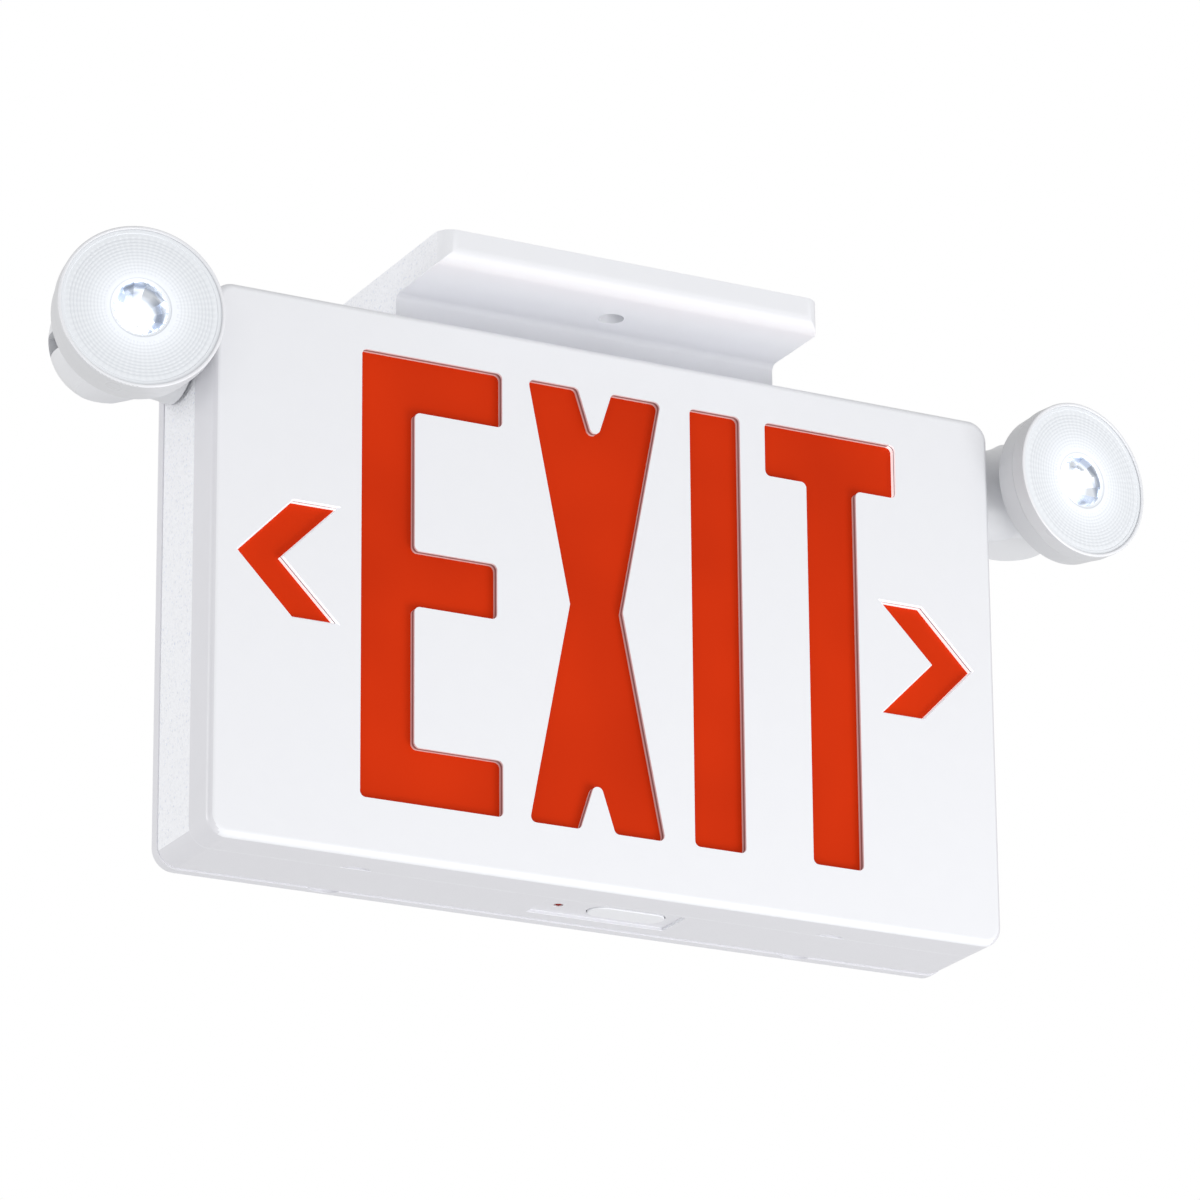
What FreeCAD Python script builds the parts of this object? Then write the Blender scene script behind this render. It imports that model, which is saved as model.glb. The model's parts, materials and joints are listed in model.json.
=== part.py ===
"""Emergency exit light with two adjustable lamp heads, hung from a ceiling canopy.

Millimetres, +Z up, +X to the viewer's right, the lettered face looks along -Y.
The origin is the middle of the canopy's ceiling face, above the housing's mid plane.
"""
import FreeCAD
import Part
import math
import os

V = FreeCAD.Vector
X_AXIS = V(1, 0, 0)
Y_AXIS = V(0, 1, 0)
Z_AXIS = V(0, 0, 1)
SIDES = (("left", -1), ("right", 1))

# ---------------------------------------------------------------- driving dimensions
# sign body
body_width = 289.0
body_height = 186.5
body_corner_r = 7.0
wall = 2.2
face_thick = 2.9
face_depth = 15.0
face_edge_r = 2.5
housing_depth = 24.0
back_depth = 5.0
back_overhang = 0.4
lip_thick = 1.4
lip_reach = 3.0
fit_gap = 0.2

# stencil: six inch letters with a three quarter inch stroke
letter_height = 152.4
stroke = 19.05
letter_corner_r = 2.0
letter_rise = 2.3
e_width = 50.8
x_width = 49.5
t_width = 50.4
letter_gap_outer = 9.5
letter_gap_inner = 10.8
word_offset_x = 7.6
x_arm_width = 18.4
x_notch_depth = 19.6
x_waist = 19.4
chevron_height = 39.2
chevron_thick = 15.2
chevron_shoulder = 19.2
chevron_tip_x = 135.4

# light box behind the face
panel_thick = 1.5
panel_margin = 2.5
tray_depth = 14.6
tray_thick = 1.5
tray_wall = 1.4
tray_margin_side = 8.5
tray_margin_top = 7.6
strip_count = 12
strip_board = 1.2
strip_width = 8.0

# canopy
canopy_width = 142.0
canopy_depth = 85.2
canopy_flange = 11.3
canopy_drop = 26.0
canopy_wall = 2.2
canopy_corner_r = 6.0
canopy_edge_r = 5.5
canopy_inner_corner_r = 1.8
canopy_inner_edge_r = 2.8
neck_thick = 16.4
neck_root_r = 2.5
mount_hole_spacing = 42.1
mount_hole_x = 2.4
mount_hole_r = 2.25
mount_sink_r = 4.3
mount_boss_r = 6.3
mount_floor = 3.0
wire_hole_r = 4.2
canopy_screw_x = 40.0

# lamp heads
lamp_reach = 24.1  # from the housing's side to the ball's middle
lamp_x = body_width / 2 + lamp_reach
knuckle_z = -42.5
puck_drop = 3.0
toe_out = 9.5
lens_reach = 38.8
ball_r = 20.5
ball_flat = 16.95
arm_root_r = 16.9
arm_root_band = 1.2
arm_waist_r = 16.1
arm_waist_at = 7.0
arm_swell_deg = 104.0
arm_gap = 0.3
axle_r = 4.5
axle_bore_r = 2.5
bush_wall = 1.6
bush_flange_r = 9.0
bush_flange = 1.0
running_gap = 0.05
nut_flats_r = 7.6
nut_thick = 3.5
slot_height = 6.4
tongue_thick = 6.0
tongue_width = 13.6
slot_back = 7.6
slot_inner = 8.5
pin_r = 2.0
pin_head_r = 3.6
pin_head = 1.6
pin_blade = 0.9
pin_floor = 3.0
pin_tip_gap = 0.3
pin_sink = 4.0
bezel_r = 27.5
bezel_length = 5.5
bezel_lip = 0.6
bezel_front_r = 0.6
shell_front_r = 27.3
shell_crease_r = 26.4
shell_crease = 13.8
shell_wall = 1.7
shell_ledge = 1.6
shell_pocket_r = 15.0
dome_shoulder_r = 20.5
dome_shoulder = 16.7
dome_flat_r = 11.0
dome_wall = 2.4
seam_gap = 0.3
puck_length = 18.0
lens_r = 26.3
lens_thick = 2.0
lens_seat = 0.3
lens_play = 0.1
lens_rings = 9
lens_ring_first = 12.0
lens_ring_last = 25.4
lens_ring_height = 0.3
well_r = 9.6
well_wall = 1.2
well_depth = 5.5
cup_wall = 0.8
cup_throat_r = 4.4
board_thick = 1.6
lamp_board_r = 22.0
sink_thick = 3.0
sink_fins = 9
emitter_size = 5.0
emitter_thick = 0.8
emitter_dome_r = 2.1

# test button and status light in the underside
panel_recess = 1.0
control_x = 8.55
control_y = -2.45
control_length = 50.3
control_width = 16.2
button_x = 15.7
button_length = 27.3
button_width = 9.6
button_gap = 0.35
button_stand = 0.5
button_travel = 1.0
button_flange = 1.4
button_flange_rim = 1.3
status_x = -9.1
status_r = 1.5
status_hole_r = 1.7

# pry notches along the underside of both joints
notch_x = 86.5
notch_width = 11.0
notch_reach = 2.4
notch_depth = 1.0

# electronics
charger_width = 114.0
charger_shift = -3.55
charger_height = 55.5
charger_clear_z = 7.0
charger_y = 1.0
standoff_r = 2.6
standoff_inset = 5.0
screw_r = 1.25
screw_head_r = 2.5
screw_head = 1.4
tray_screw_length = 8.0
board_screw_length = 7.0
canopy_screw_length = 9.0
transformer_size = 22.0
transformer_inset = 15.0
transformer_drop = 8.0
transformer_tall = 10.5
capacitor_drop = 16.0
terminal_inset = 12.0
terminal_rise = 11.5
switch_size = 6.6
switch_height = 6.0
plunger_r = 1.6
cell_r = 7.1
cell_length = 49.5
battery_inset = 49.5
cell_count = 3
cell_pitch = 14.6
battery_rise = 18.0
strip_end_gap = 20.0
led_end_gap = 28.0
screw_column_inset = 25.5
screw_row_inset = 12.0
bracket_thick = 1.6

# ---------------------------------------------------------------- derived places
half_w = body_width / 2
screw_column_x = half_w - screw_column_inset
cell_x = battery_inset - half_w
charger_left = control_x + charger_shift - charger_width / 2
charger_right = charger_left + charger_width
body_top = -canopy_drop
body_bottom = body_top - body_height
mid_z = (body_top + body_bottom) / 2
front_joint_y = -housing_depth / 2
back_joint_y = housing_depth / 2
face_y = front_joint_y - face_depth
back_y = back_joint_y + back_depth
panel_front_y = face_y + face_thick
panel_back_y = panel_front_y + panel_thick
tray_back_y = panel_back_y + tray_depth
tray_floor_y = tray_back_y - tray_thick
letters_z = mid_z + letter_rise
lens_z = knuckle_z - puck_drop
flat_z = knuckle_z - ball_flat
pin_seat_z = knuckle_z + ball_r - pin_sink
inner_bottom = body_bottom + wall
recess_z = body_bottom + panel_recess
pad_top = recess_z + wall
charger_bottom = body_bottom + charger_clear_z
tray_half_w = half_w - tray_margin_side
tray_top = body_top - tray_margin_top
tray_bottom = body_bottom + tray_margin_top


# ---------------------------------------------------------------- small helpers
def box(x0, x1, y0, y1, z0, z1):
    return Part.makeBox(x1 - x0, y1 - y0, z1 - z0, V(x0, y0, z0))


def cylinder(radius, start, direction, length):
    return Part.makeCylinder(radius, length, start, direction)


def prism_y(points, y0, y1):
    """Extrude a closed outline of (x, z) points along Y."""
    corners = [V(x, y0, z) for x, z in points]
    wire = Part.makePolygon(corners + corners[:1])
    return Part.Face(wire).extrude(V(0, y1 - y0, 0))


def prism_x(points, x0, x1):
    """Extrude a closed outline of (y, z) points along X."""
    corners = [V(x0, y, z) for y, z in points]
    wire = Part.makePolygon(corners + corners[:1])
    return Part.Face(wire).extrude(V(x1 - x0, 0, 0))


def edges_along(shape, axis):
    found = []
    for edge in shape.Edges:
        if isinstance(edge.Curve, Part.Line):
            if abs(abs(edge.tangentAt(edge.FirstParameter).dot(axis)) - 1) < 1e-6:
                found.append(edge)
    return found


def rounded(shape, axis, radius):
    """Round every straight edge that runs along the axis."""
    return shape.makeFillet(radius, edges_along(shape, axis))


def slab(half_x, z_top, z_bottom, y0, y1, radius):
    """A plate in the XZ plane with rounded corners."""
    return rounded(box(-half_x, half_x, y0, y1, z_bottom, z_top), Y_AXIS, radius)


def body_slab(inset, y0, y1):
    radius = max(body_corner_r - inset, 1.0)
    return slab(half_w - inset, body_top - inset, body_bottom + inset, y0, y1, radius)


def body_ring(inset, thick, y0, y1):
    return body_slab(inset, y0, y1).cut(body_slab(inset + thick, y0 - 1, y1 + 1))


def revolve_y(path, centre_x, centre_z):
    """Turn a closed outline about a line along Y.

    A step of the path is a (radius, y) point, or an arc given as (middle point, end point).
    """
    def place(point):
        return V(centre_x + point[0], point[1], centre_z)

    here = place(path[0])
    edges = []
    for step in path[1:] + path[:1]:
        if isinstance(step[0], tuple):
            middle, end = place(step[0]), place(step[1])
            edges.append(Part.Arc(here, middle, end).toShape())
        else:
            end = place(step)
            edges.append(Part.LineSegment(here, end).toShape())
        here = end
    return Part.Face(Part.Wire(edges)).revolve(V(centre_x, 0, centre_z), Y_AXIS, 360)


def group(shapes):
    return Part.makeCompound(shapes)


def one_solid(shape):
    shape = shape.removeSplitter()
    if len(shape.Solids) == 1:
        return shape.Solids[0]
    return shape


def screw(head_at, direction, length, radius=screw_r, head_r=screw_head_r, head=screw_head):
    """A pan head screw: the head stands on head_at and the shank runs along direction."""
    top = head_at - direction * head
    return cylinder(head_r, top, direction, head).fuse(cylinder(radius, head_at, direction, length))


def oblong(length, width, centre_x, centre_y, z0, z1):
    """A bar along X with round ends, standing along Z."""
    half = (length - width) / 2
    bar = box(centre_x - half, centre_x + half, centre_y - width / 2, centre_y + width / 2, z0, z1)
    for end in (-half, half):
        bar = bar.fuse(cylinder(width / 2, V(centre_x + end, centre_y, z0), Z_AXIS, z1 - z0))
    return bar.removeSplitter()


# ---------------------------------------------------------------- stencil outlines
def stencil(points, radius):
    """One aperture tool, long enough to pass through the face."""
    tool = prism_y(points, face_y - 1, panel_front_y + 0.5)
    if radius > 0:
        tool = rounded(tool, Y_AXIS, radius)
    return tool


def letter_e(left):
    top = letters_z + letter_height / 2
    low = letters_z - letter_height / 2
    right = left + e_width
    stem = left + stroke
    mid = stroke / 2
    return [(left, low), (right, low), (right, low + stroke), (stem, low + stroke),
            (stem, letters_z - mid), (right - 2.0, letters_z - mid),
            (right - 2.0, letters_z + mid), (stem, letters_z + mid),
            (stem, top - stroke), (right, top - stroke), (right, top), (left, top)]


def letter_x(left):
    centre = left + x_width / 2
    half = x_width / 2
    notch = half - x_arm_width
    tall = letter_height / 2
    tip = tall - x_notch_depth
    quarter = [(half, tall), (x_waist / 2, 0), (half, -tall), (notch, -tall), (0, -tip),
               (-notch, -tall), (-half, -tall), (-x_waist / 2, 0), (-half, tall),
               (-notch, tall), (0, tip), (notch, tall)]
    return [(centre + x, letters_z + z) for x, z in quarter]


def letter_i(left):
    top = letters_z + letter_height / 2
    low = letters_z - letter_height / 2
    return [(left, low), (left + stroke, low), (left + stroke, top), (left, top)]


def letter_t(left):
    top = letters_z + letter_height / 2
    low = letters_z - letter_height / 2
    centre = left + t_width / 2
    half = stroke / 2
    under = top - stroke
    return [(centre - half, low), (centre + half, low), (centre + half, under),
            (left + t_width, under), (left + t_width, top), (left, top),
            (left, under), (centre - half, under)]


def chevron(side):
    tall = chevron_height / 2
    outline = [(0, 0), (chevron_shoulder, tall), (chevron_thick + tall, tall),
               (chevron_thick, 0), (chevron_thick + tall, -tall), (chevron_shoulder, -tall)]
    return [(side * (chevron_tip_x - x), letters_z + z) for x, z in outline]


def word_tools():
    word = e_width + letter_gap_outer + x_width + letter_gap_inner + stroke + letter_gap_outer
    left = word_offset_x - (word + t_width) / 2
    x_left = left + e_width + letter_gap_outer
    i_left = x_left + x_width + letter_gap_inner
    t_left = i_left + stroke + letter_gap_outer
    tools = [stencil(letter_e(left), letter_corner_r), stencil(letter_x(x_left), letter_corner_r),
             stencil(letter_i(i_left), letter_corner_r), stencil(letter_t(t_left), letter_corner_r)]
    tools += [stencil(chevron(side), 0) for _, side in SIDES]
    return tools


# ---------------------------------------------------------------- sign body
def pry_notches(joint_y, towards):
    """Lens shaped finger nail notches in the underside, at the edge of a cover."""
    radius = (notch_width ** 2 / 4 + notch_reach ** 2) / (2 * notch_reach)
    cutters = []
    for _, side in SIDES:
        centre = V(side * notch_x, joint_y + towards * (notch_reach - radius), body_bottom - 1)
        round_tool = cylinder(radius, centre, Z_AXIS, notch_depth + 1)
        y_far = joint_y + towards * (notch_reach + 1)
        keep = box(side * notch_x - notch_width, side * notch_x + notch_width,
                   min(joint_y, y_far), max(joint_y, y_far),
                   body_bottom - 2, body_bottom + notch_depth + 1)
        cutters.append(round_tool.common(keep))
    return cutters


def front_edges(shape, y):
    found = []
    for edge in shape.Edges:
        bound = edge.BoundBox
        if abs(bound.YMin - y) < 1e-6 and abs(bound.YMax - y) < 1e-6:
            found.append(edge)
    return found


def face_plate():
    outer = body_slab(0, face_y, front_joint_y)
    outer = outer.makeFillet(face_edge_r, front_edges(outer, face_y))
    shell = outer.cut(body_slab(wall, panel_front_y, front_joint_y + 1))
    for tool in word_tools():
        shell = shell.cut(tool)
    for cutter in pry_notches(front_joint_y, -1):
        shell = shell.cut(cutter)
    return one_solid(shell)


def red_panel():
    inset = wall + panel_margin
    return body_slab(inset, panel_front_y, panel_back_y)


def tray_screw_places():
    rows = (body_top - screw_row_inset, body_bottom + screw_row_inset)
    return [(side * screw_column_x, z) for _, side in SIDES for z in rows]


def charger_post_places():
    xs = (charger_left + standoff_inset, charger_right - standoff_inset)
    zs = (charger_bottom + standoff_inset, charger_bottom + charger_height - standoff_inset)
    return [(x, z) for x in xs for z in zs]


def light_tray():
    """White moulded tray: the light box in front, the electronics' posts behind."""
    outer = slab(tray_half_w, tray_top, tray_bottom, panel_back_y, tray_back_y, 5.0)
    hollow = slab(tray_half_w - tray_wall, tray_top - tray_wall, tray_bottom + tray_wall,
                  panel_back_y - 1, tray_floor_y, 4.0)
    tray = outer.cut(hollow)
    for x, z in charger_post_places():
        post = cylinder(standoff_r, V(x, tray_back_y - 0.5, z), Y_AXIS, charger_y - tray_back_y + 0.5)
        tray = tray.fuse(post)
        tray = tray.cut(cylinder(screw_r, V(x, tray_floor_y + 0.5, z), Y_AXIS, 20))
    for x, z in tray_screw_places():
        tray = tray.cut(cylinder(screw_r + fit_gap, V(x, tray_floor_y - 1, z), Y_AXIS, 4))
    return one_solid(tray)


def tray_screws():
    return group([screw(V(x, tray_floor_y, z), Y_AXIS, tray_screw_length)
                  for x, z in tray_screw_places()])


def strip_z(side):
    """Outer face of a strip board: side 1 lies under the tray's top wall."""
    edge = tray_top - tray_wall if side > 0 else tray_bottom + tray_wall
    return edge


def led_strips():
    reach = tray_half_w - strip_end_gap
    y0 = tray_floor_y - 1.0 - strip_width
    boards = []
    for side in (1, -1):
        z_outer = strip_z(side)
        z_inner = z_outer - side * strip_board
        boards.append(box(-reach, reach, y0, y0 + strip_width,
                          min(z_outer, z_inner), max(z_outer, z_inner)))
    return group(boards)


def strip_leds():
    reach = tray_half_w - led_end_gap
    y_mid = tray_floor_y - 1.0 - strip_width / 2
    leds = []
    for side in (1, -1):
        z0 = strip_z(side) - side * strip_board
        z1 = z0 - side * 1.1
        for index in range(strip_count):
            x = -reach + 2 * reach * index / (strip_count - 1)
            leds.append(box(x - 1.75, x + 1.75, y_mid - 1.4, y_mid + 1.4, min(z0, z1), max(z0, z1)))
    return group(leds)


def corner_posts():
    """Posts for the tray screws, each tied to the near wall by a rib."""
    posts = []
    for x, z in tray_screw_places():
        post = cylinder(4.5, V(x, tray_back_y, z), Y_AXIS, back_joint_y - 2.0 - tray_back_y)
        z_wall = body_top - wall / 2 if z > mid_z else body_bottom + wall / 2
        rib = box(x - 1.2, x + 1.2, tray_back_y, back_joint_y - 2.0, min(z, z_wall), max(z, z_wall))
        bore = cylinder(screw_r, V(x, tray_back_y - 1, z), Y_AXIS, 8.0)
        posts.append(post.fuse(rib).cut(bore))
    return posts


def housing_frame():
    frame = body_ring(0, wall, front_joint_y, back_joint_y)
    band = 2.5
    frame = frame.fuse(body_ring(wall - 0.1, fit_gap + lip_thick + 0.1,
                                 front_joint_y, front_joint_y + band))
    frame = frame.fuse(body_ring(wall - 0.1, fit_gap + lip_thick + 0.1,
                                 back_joint_y - band, back_joint_y))
    frame = frame.fuse(body_ring(wall + fit_gap, lip_thick,
                                 front_joint_y - lip_reach, front_joint_y + 0.5))
    frame = frame.fuse(body_ring(wall + fit_gap, lip_thick,
                                 back_joint_y - 0.5, back_joint_y + lip_reach - 0.8))
    for post in corner_posts():
        frame = frame.fuse(post)
    # thick pad behind the control recess
    half_l = control_length / 2 + wall
    pad = box(control_x - half_l, control_x + half_l, front_joint_y,
              control_y + control_width / 2 + wall, body_bottom + 0.2, pad_top)
    frame = frame.fuse(pad)
    recess = box(control_x - control_length / 2, control_x + control_length / 2,
                 control_y - control_width / 2, control_y + control_width / 2,
                 body_bottom - 1, recess_z)
    frame = frame.cut(recess)
    frame = frame.cut(oblong(button_length + 2 * button_gap, button_width + 2 * button_gap,
                             button_x, control_y, recess_z - 1, pad_top + 1))
    frame = frame.cut(cylinder(status_hole_r, V(status_x, control_y, recess_z - 1), Z_AXIS, 10))
    # wire way and canopy screws in the top wall
    frame = frame.cut(cylinder(wire_hole_r, V(0, 0, body_top - wall - 1), Z_AXIS, wall + 2))
    for _, side in SIDES:
        frame = frame.fuse(cylinder(3.5, V(side * canopy_screw_x, 0, body_top - 8), Z_AXIS, 7))
        frame = frame.cut(cylinder(screw_r, V(side * canopy_screw_x, 0, body_top - 9), Z_AXIS, 10))
        # lamp arm sockets
        hole = cylinder(axle_r + running_gap + bush_wall, V(side * (half_w + 1), 0, knuckle_z),
                        X_AXIS * -side, wall + fit_gap + lip_thick + 3)
        frame = frame.cut(hole)
    return one_solid(frame)


def back_plate():
    rim = back_overhang
    outer = slab(half_w + rim, body_top + rim, body_bottom - rim,
                 back_joint_y, back_y, body_corner_r + rim)
    outer = outer.makeFillet(1.5, front_edges(outer, back_y))
    shell = outer.cut(body_slab(wall, back_joint_y - 1, back_y - wall))
    for cutter in pry_notches(back_joint_y, 1):
        shell = shell.cut(cutter.translate(V(0, 0, -rim)))
    # junction box pattern: round knock-out and four screw slots, all scored from behind
    score = 0.8
    centre = V(0, back_y - score, mid_z)
    ring = cylinder(11.6, centre, Y_AXIS, 2).cut(cylinder(11.0, centre, Y_AXIS, 2))
    shell = shell.cut(ring)
    for quarter in range(4):
        angle = math.radians(45 + 90 * quarter)
        slot = rounded(box(-7, 7, back_y - score, back_y + 1, -2.4, 2.4), Y_AXIS, 2.3)
        core = rounded(box(-6.4, 6.4, back_y - score - 1, back_y + 2, -1.8, 1.8), Y_AXIS, 1.7)
        slot = slot.cut(core)
        slot.rotate(V(0, 0, 0), Y_AXIS, -math.degrees(angle))
        slot.translate(V(41 * math.cos(angle), 0, mid_z + 41 * math.sin(angle)))
        shell = shell.cut(slot)
    # keyholes for hanging on a wall
    for _, side in SIDES:
        x = side * half_w * 0.62
        z = mid_z + body_height * 0.3
        shell = shell.cut(cylinder(4.2, V(x, back_y - wall - 1, z), Y_AXIS, wall + 2))
        shell = shell.cut(box(x - 2.1, x + 2.1, back_y - wall - 1, back_y + 1, z, z + 8.5))
        shell = shell.cut(cylinder(2.1, V(x, back_y - wall - 1, z + 8.5), Y_AXIS, wall + 2))
    return one_solid(shell)


# ---------------------------------------------------------------- canopy
def canopy_tee(inset, z_top, z_foot, corner_r, edge_r):
    """T section run along X: a flange with round lower edges on a neck with a soft root."""
    half = canopy_depth / 2 - inset
    neck = neck_thick / 2 - inset
    under = -canopy_flange + inset
    reach = canopy_width / 2 - inset
    tee = prism_x([(-half, z_top), (half, z_top), (half, under), (neck, under), (neck, z_foot),
                   (-neck, z_foot), (-neck, under), (-half, under)], -reach, reach)
    lower = []
    roots = []
    for edge in edges_along(tee, X_AXIS):
        if abs(edge.BoundBox.ZMax - under) < 1e-4:
            if abs(edge.BoundBox.YMax) > half - 1e-4:
                lower.append(edge)
            else:
                roots.append(edge)
    tee = tee.makeFillet(neck_root_r + inset, roots)
    lower = [edge for edge in edges_along(tee, X_AXIS)
             if abs(edge.BoundBox.ZMax - under) < 1e-4 and abs(edge.BoundBox.YMax) > half - 1e-4]
    tee = tee.makeFillet(edge_r, lower)
    plan = box(-reach, reach, -half, half, z_foot - 1, z_top + 1)
    return tee.common(rounded(plan, Z_AXIS, corner_r))


def mount_hole_places():
    return [(mount_hole_x, side * mount_hole_spacing / 2) for side in (-1, 1)]


def canopy():
    outer = canopy_tee(0, 0, body_top, canopy_corner_r, canopy_edge_r)
    hollow = canopy_tee(canopy_wall, 1, body_top + canopy_wall,
                        canopy_inner_corner_r, canopy_inner_edge_r)
    shell = outer.cut(hollow)
    for x, y in mount_hole_places():
        boss = cylinder(mount_boss_r, V(x, y, -canopy_flange + 0.5), Z_AXIS, canopy_flange - 0.5)
        shell = shell.fuse(boss)
        shell = shell.cut(cylinder(mount_sink_r, V(x, y, -canopy_flange - 1), Z_AXIS,
                                   canopy_flange + 1 - mount_floor))
        shell = shell.cut(cylinder(mount_hole_r, V(x, y, -canopy_flange), Z_AXIS,
                                   canopy_flange + 2))
    shell = shell.cut(cylinder(wire_hole_r, V(0, 0, body_top - 1), Z_AXIS, canopy_wall + 2))
    for _, side in SIDES:
        shell = shell.cut(cylinder(screw_r + fit_gap, V(side * canopy_screw_x, 0, body_top - 1),
                                   Z_AXIS, canopy_wall + 2))
    return one_solid(shell)


def canopy_screws():
    seat = body_top + canopy_wall
    return group([screw(V(side * canopy_screw_x, 0, seat), Z_AXIS * -1, canopy_screw_length)
                  for _, side in SIDES])


def wire_bush():
    """Snap bushing that joins the wire way of the canopy to that of the housing."""
    low = body_top - wall - 1.2
    high = body_top + canopy_wall + 1.2
    sleeve = cylinder(wire_hole_r - 0.05, V(0, 0, low), Z_AXIS, high - low)
    for z in (low, high - 1.2):
        sleeve = sleeve.fuse(cylinder(wire_hole_r + 1.4, V(0, 0, z), Z_AXIS, 1.2))
    return one_solid(sleeve.cut(cylinder(wire_hole_r - 1.6, V(0, 0, low - 1), Z_AXIS, 20)))


# ---------------------------------------------------------------- lamp arm and knuckle
def arm_blank():
    """Waisted arm that swells into a ball, turned about the tilt axis (right side)."""
    root = half_w + bush_flange + arm_gap
    start = root + arm_root_band
    angle = math.radians(arm_swell_deg)
    join = V(lamp_x + ball_r * math.cos(angle), 0, ball_r * math.sin(angle))
    pole = V(lamp_x + ball_r, 0, 0)
    shoulder = V(lamp_x + ball_r * math.cos(angle / 2), 0, ball_r * math.sin(angle / 2))
    waist = Part.BSplineCurve()
    waist.interpolate([V(start, 0, arm_root_r), V(root + arm_waist_at, 0, arm_waist_r), join])
    edges = [Part.LineSegment(V(root, 0, 0), V(root, 0, arm_root_r)).toShape(),
             Part.LineSegment(V(root, 0, arm_root_r), V(start, 0, arm_root_r)).toShape(),
             waist.toShape(),
             Part.Arc(join, shoulder, pole).toShape(),
             Part.LineSegment(pole, V(root, 0, 0)).toShape()]
    blank = Part.Face(Part.Wire(edges)).revolve(V(0, 0, 0), X_AXIS, 360)
    blank.translate(V(0, 0, knuckle_z))
    return blank


def arm():
    """Right hand arm; the left one is its mirror."""
    body = arm_blank()
    body = body.cut(box(half_w, lamp_x + 2 * ball_r, -2 * ball_r, 2 * ball_r,
                        flat_z - ball_r, flat_z))
    inner_end = half_w - wall - 1.0 - nut_thick - 1.0
    root = half_w + bush_flange + arm_gap
    body = body.fuse(cylinder(axle_r, V(inner_end, 0, knuckle_z), X_AXIS, root + 1 - inner_end))
    half_slot = slot_height / 2
    slot = box(lamp_x - slot_inner, lamp_x + 2 * ball_r, -2 * ball_r, slot_back,
               lens_z - half_slot, lens_z + half_slot)
    slot = rounded(slot, Z_AXIS, 5.0)
    body = body.cut(slot)
    body = body.cut(cylinder(axle_bore_r, V(inner_end - 1, 0, knuckle_z), X_AXIS,
                             lamp_x - slot_inner + 2 - inner_end))
    body = body.cut(cylinder(pin_r, V(lamp_x, 0, flat_z + pin_floor), Z_AXIS, pin_seat_z - flat_z))
    body = body.cut(cylinder(pin_head_r + fit_gap, V(lamp_x, 0, pin_seat_z), Z_AXIS, ball_r))
    return one_solid(body)


def pivot_pin():
    """Cross head screw pin of the swivel, down through the ball's top."""
    low = flat_z + pin_floor + pin_tip_gap
    shank = cylinder(pin_r, V(lamp_x, 0, low), Z_AXIS, pin_seat_z - low)
    head = cylinder(pin_head_r, V(lamp_x, 0, pin_seat_z), Z_AXIS, pin_head)
    half_blade = pin_blade / 2
    reach = pin_head_r * 0.67
    top = pin_seat_z + pin_head
    cross = box(lamp_x - reach, lamp_x + reach, -half_blade, half_blade, top - pin_blade, top + 1)
    cross = cross.fuse(box(lamp_x - half_blade, lamp_x + half_blade, -reach, reach,
                           top - pin_blade, top + 1))
    return one_solid(head.fuse(shank).cut(cross))


def arm_bush():
    """Nylon bush in the housing's side wall."""
    bore = axle_r + running_gap
    inner = half_w - wall - 0.8
    sleeve = cylinder(bore + bush_wall, V(inner, 0, knuckle_z), X_AXIS, half_w - inner)
    flange = cylinder(bush_flange_r, V(half_w, 0, knuckle_z), X_AXIS, bush_flange)
    bush = sleeve.fuse(flange)
    return one_solid(bush.cut(cylinder(bore, V(inner - 1, 0, knuckle_z), X_AXIS, 20)))


def arm_nut():
    """Hexagon lock nut on the axle, inside the housing."""
    start = half_w - wall - 1.0 - nut_thick
    across = nut_flats_r / math.cos(math.radians(30))
    corners = []
    for index in range(6):
        angle = math.radians(60 * index)
        corners.append((across * math.cos(angle) * 0.92, knuckle_z + across * math.sin(angle) * 0.92))
    nut = prism_x(corners, start, start + nut_thick)
    return one_solid(nut.cut(cylinder(axle_r, V(start - 1, 0, knuckle_z), X_AXIS, nut_thick + 2)))


# ---------------------------------------------------------------- lamp head
# The head is drawn straight ahead on the right side and then toed out about the pin.
front_y = -lens_reach
rim_y = front_y - bezel_lip
crease_y = rim_y + shell_crease
puck_back_y = rim_y + puck_length
bezel_end_y = rim_y + bezel_length
bezel_bore_r = lens_r + lens_seat + lens_play
ledge_y = crease_y - shell_ledge
lamp_board_y = ledge_y - sink_thick - board_thick


def head_bezel():
    """Snap-on ring: a thin rounded rim in front of the lens and a plain skirt."""
    soft = bezel_front_r
    bulge = soft * (1 - math.cos(math.radians(45)))
    path = [(lens_r, rim_y + 0.3), (lens_r + 0.3, rim_y), (bezel_r - soft, rim_y),
            ((bezel_r - bulge, rim_y + bulge), (bezel_r, rim_y + soft)), (bezel_r, bezel_end_y),
            (bezel_bore_r, bezel_end_y), (bezel_bore_r, front_y), (lens_r, front_y)]
    return one_solid(revolve_y(path, lamp_x, lens_z))


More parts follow.
